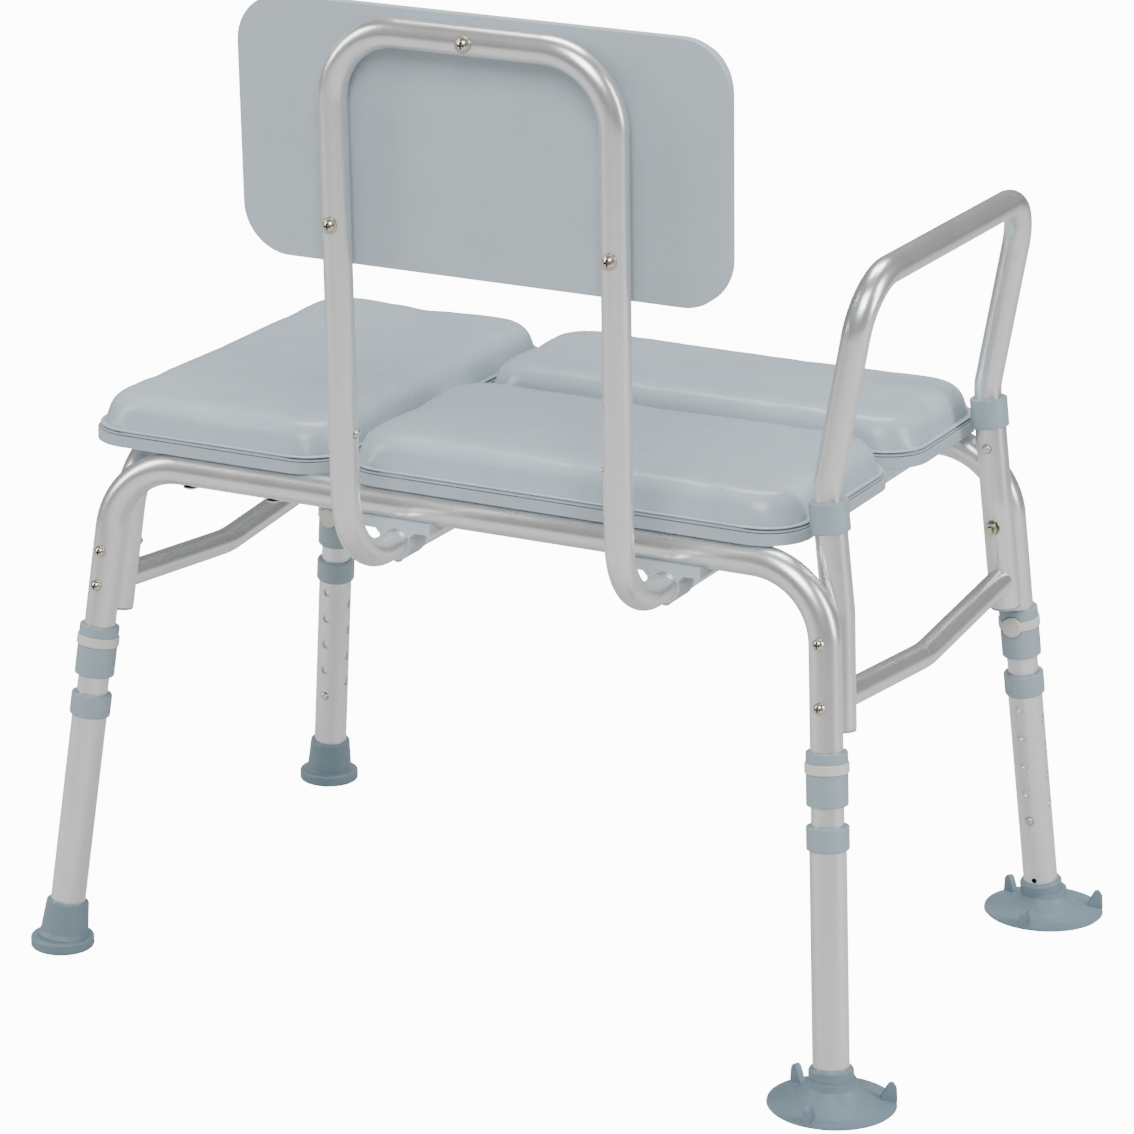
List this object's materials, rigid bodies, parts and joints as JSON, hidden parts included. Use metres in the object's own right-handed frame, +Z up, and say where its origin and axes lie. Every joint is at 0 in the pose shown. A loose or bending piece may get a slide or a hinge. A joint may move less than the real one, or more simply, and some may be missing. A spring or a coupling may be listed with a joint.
{
  "type": "bath transfer bench",
  "caption": "Bath transfer bench with a padded three-part seat, lift-off backrest, lift-out arm handle and height-adjustable splayed tube legs.",
  "frame": {"origin": "on the floor, under the middle of the bench's outline", "axes": "+Z up, X along the seat with the arm handle at -X, the user faces -Y and the backrest is at +Y"},
  "size_m": [0.762, 0.5912, 0.8228],
  "materials": {
    "anodised_aluminium": "satin anodised tube",
    "cushion_vinyl": "smooth padded vinyl, pale grey-blue",
    "seat_board_plastic": "satin moulded, grey-blue",
    "nickel_fasteners": "nickel plated",
    "spring_steel": "bright",
    "ivory_clip_plastic": "satin, ivory",
    "foot_rubber": "satin, grey-blue",
    "bracket_plastic": "satin, pale grey-blue",
    "collar_plastic": "satin moulded, grey-blue"
  },
  "bodies": {
    "frame": {"rear_rail": "anodised_aluminium", "front_rail": "anodised_aluminium", "open_end_hoop": "anodised_aluminium", "arm_post_rear": "anodised_aluminium", "arm_post_front": "anodised_aluminium", "open_crossbar": "anodised_aluminium", "arm_crossbar": "anodised_aluminium", "post_plugs": "collar_plastic", "arm_bushings": "collar_plastic", "back_sockets": "anodised_aluminium", "socket_brackets": "bracket_plastic", "socket_caps": "collar_plastic", "leg_couplers": "collar_plastic", "ring_clips": "ivory_clip_plastic", "leg_columns": "anodised_aluminium", "leg_springs": "spring_steel", "frame_bolts": "nickel_fasteners", "frame_nuts": "nickel_fasteners", "seat_screws": "nickel_fasteners", "seat_straps": "anodised_aluminium", "seat_board_open": "seat_board_plastic", "seat_board_rear": "seat_board_plastic", "seat_board_front": "seat_board_plastic", "seat_pad_open": "cushion_vinyl", "seat_pad_rear": "cushion_vinyl", "seat_pad_front": "cushion_vinyl"},
    "leg_rear_open": {"leg_tube_rear_open": "anodised_aluminium", "leg_collar_rear_open": "collar_plastic", "ferrule_rear_open": "foot_rubber"},
    "button_rear_open": {"leg_button_rear_open": "spring_steel"},
    "leg_front_open": {"leg_tube_front_open": "anodised_aluminium", "leg_collar_front_open": "collar_plastic", "ferrule_front_open": "foot_rubber"},
    "button_front_open": {"leg_button_front_open": "spring_steel"},
    "leg_rear_arm": {"leg_tube_rear_arm": "anodised_aluminium", "leg_collar_rear_arm": "collar_plastic", "suction_cup_rear_arm": "foot_rubber"},
    "button_rear_arm": {"leg_button_rear_arm": "spring_steel"},
    "leg_front_arm": {"leg_tube_front_arm": "anodised_aluminium", "leg_collar_front_arm": "collar_plastic", "suction_cup_front_arm": "foot_rubber"},
    "button_front_arm": {"leg_button_front_arm": "spring_steel"},
    "arm": {"arm_handle": "anodised_aluminium", "arm_springs": "spring_steel"},
    "arm_button_rear_body": {"arm_button_rear": "spring_steel"},
    "arm_button_front_body": {"arm_button_front": "spring_steel"},
    "back_support": {"back_post_open": "anodised_aluminium", "back_post_arm": "anodised_aluminium", "back_springs": "spring_steel"},
    "backrest": {"back_tube": "anodised_aluminium", "back_board": "seat_board_plastic", "back_pad": "cushion_vinyl", "back_screws": "nickel_fasteners"},
    "back_button_open_body": {"back_button_open": "spring_steel"},
    "socket_button_open_body": {"socket_button_open": "spring_steel"},
    "back_button_arm_body": {"back_button_arm": "spring_steel"},
    "socket_button_arm_body": {"socket_button_arm": "spring_steel"}
  },
  "joints": [
    {"name": "leg_rear_open_height", "type": "slide", "parent": "frame", "child": "leg_rear_open", "axis": [0.0882, 0.0979, -0.9913], "range_m": [0, 0.1016], "deforming": ["leg_button_rear_open", "leg_springs"]},
    {"name": "leg_front_open_height", "type": "slide", "parent": "frame", "child": "leg_front_open", "axis": [0.0882, -0.0979, -0.9913], "range_m": [0, 0.1016], "deforming": ["leg_button_front_open", "leg_springs"]},
    {"name": "leg_rear_arm_height", "type": "slide", "parent": "frame", "child": "leg_rear_arm", "axis": [-0.0882, 0.0979, -0.9913], "range_m": [0, 0.1016], "deforming": ["leg_button_rear_arm", "leg_springs"]},
    {"name": "leg_front_arm_height", "type": "slide", "parent": "frame", "child": "leg_front_arm", "axis": [-0.0882, -0.0979, -0.9913], "range_m": [0, 0.1016], "deforming": ["leg_button_front_arm", "leg_springs"]},
    {"name": "button_rear_open_press", "type": "slide", "parent": "frame", "child": "button_rear_open", "axis": [0, 0.9952, 0.0983], "range_m": [0, 0.004], "stiffness_N_per_m": 400, "springref_m": -0.003, "deforming": ["leg_springs"]},
    {"name": "button_front_open_press", "type": "slide", "parent": "frame", "child": "button_front_open", "axis": [0, -0.9952, 0.0983], "range_m": [0, 0.004], "stiffness_N_per_m": 400, "springref_m": -0.003, "deforming": ["leg_springs"]},
    {"name": "button_rear_arm_press", "type": "slide", "parent": "frame", "child": "button_rear_arm", "axis": [0, 0.9952, 0.0983], "range_m": [0, 0.004], "stiffness_N_per_m": 400, "springref_m": -0.003, "deforming": ["leg_springs"]},
    {"name": "button_front_arm_press", "type": "slide", "parent": "frame", "child": "button_front_arm", "axis": [0, -0.9952, 0.0983], "range_m": [0, 0.004], "stiffness_N_per_m": 400, "springref_m": -0.003, "deforming": ["leg_springs"]},
    {"name": "arm_lift_out", "type": "slide", "parent": "frame", "child": "arm", "axis": [0.1285, 0, 0.9917], "range_m": [0, 0.058], "deforming": ["arm_springs", "arm_button_rear", "arm_button_front"]},
    {"name": "arm_button_rear_press", "type": "slide", "parent": "arm", "child": "arm_button_rear_body", "axis": [0, 1, 0], "range_m": [0, 0.004], "stiffness_N_per_m": 400, "springref_m": -0.003, "deforming": ["arm_springs"]},
    {"name": "arm_button_front_press", "type": "slide", "parent": "arm", "child": "arm_button_front_body", "axis": [0, -1, 0], "range_m": [0, 0.004], "stiffness_N_per_m": 400, "springref_m": -0.003, "deforming": ["arm_springs"]},
    {"name": "back_support_slide_out", "type": "slide", "parent": "frame", "child": "back_support", "axis": [0, 1, 0], "range_m": [0, 0.066], "deforming": ["back_springs", "socket_button_open", "socket_button_arm"]},
    {"name": "backrest_lift_off", "type": "slide", "parent": "back_support", "child": "backrest", "axis": [0, 0.0628, 0.998], "range_m": [0, 0.042], "deforming": ["back_springs", "back_button_open", "back_button_arm"]},
    {"name": "back_button_open_press", "type": "slide", "parent": "back_support", "child": "back_button_open_body", "axis": [1, 0, 0], "range_m": [0, 0.004], "stiffness_N_per_m": 400, "springref_m": -0.003, "deforming": ["back_springs"]},
    {"name": "socket_button_open_press", "type": "slide", "parent": "back_support", "child": "socket_button_open_body", "axis": [0, 0, 1], "range_m": [0, 0.005], "stiffness_N_per_m": 400, "springref_m": -0.003, "deforming": ["back_springs"]},
    {"name": "back_button_arm_press", "type": "slide", "parent": "back_support", "child": "back_button_arm_body", "axis": [-1, 0, 0], "range_m": [0, 0.004], "stiffness_N_per_m": 400, "springref_m": -0.003, "deforming": ["back_springs"]},
    {"name": "socket_button_arm_press", "type": "slide", "parent": "back_support", "child": "socket_button_arm_body", "axis": [0, 0, 1], "range_m": [0, 0.005], "stiffness_N_per_m": 400, "springref_m": -0.003, "deforming": ["back_springs"]}
  ]
}
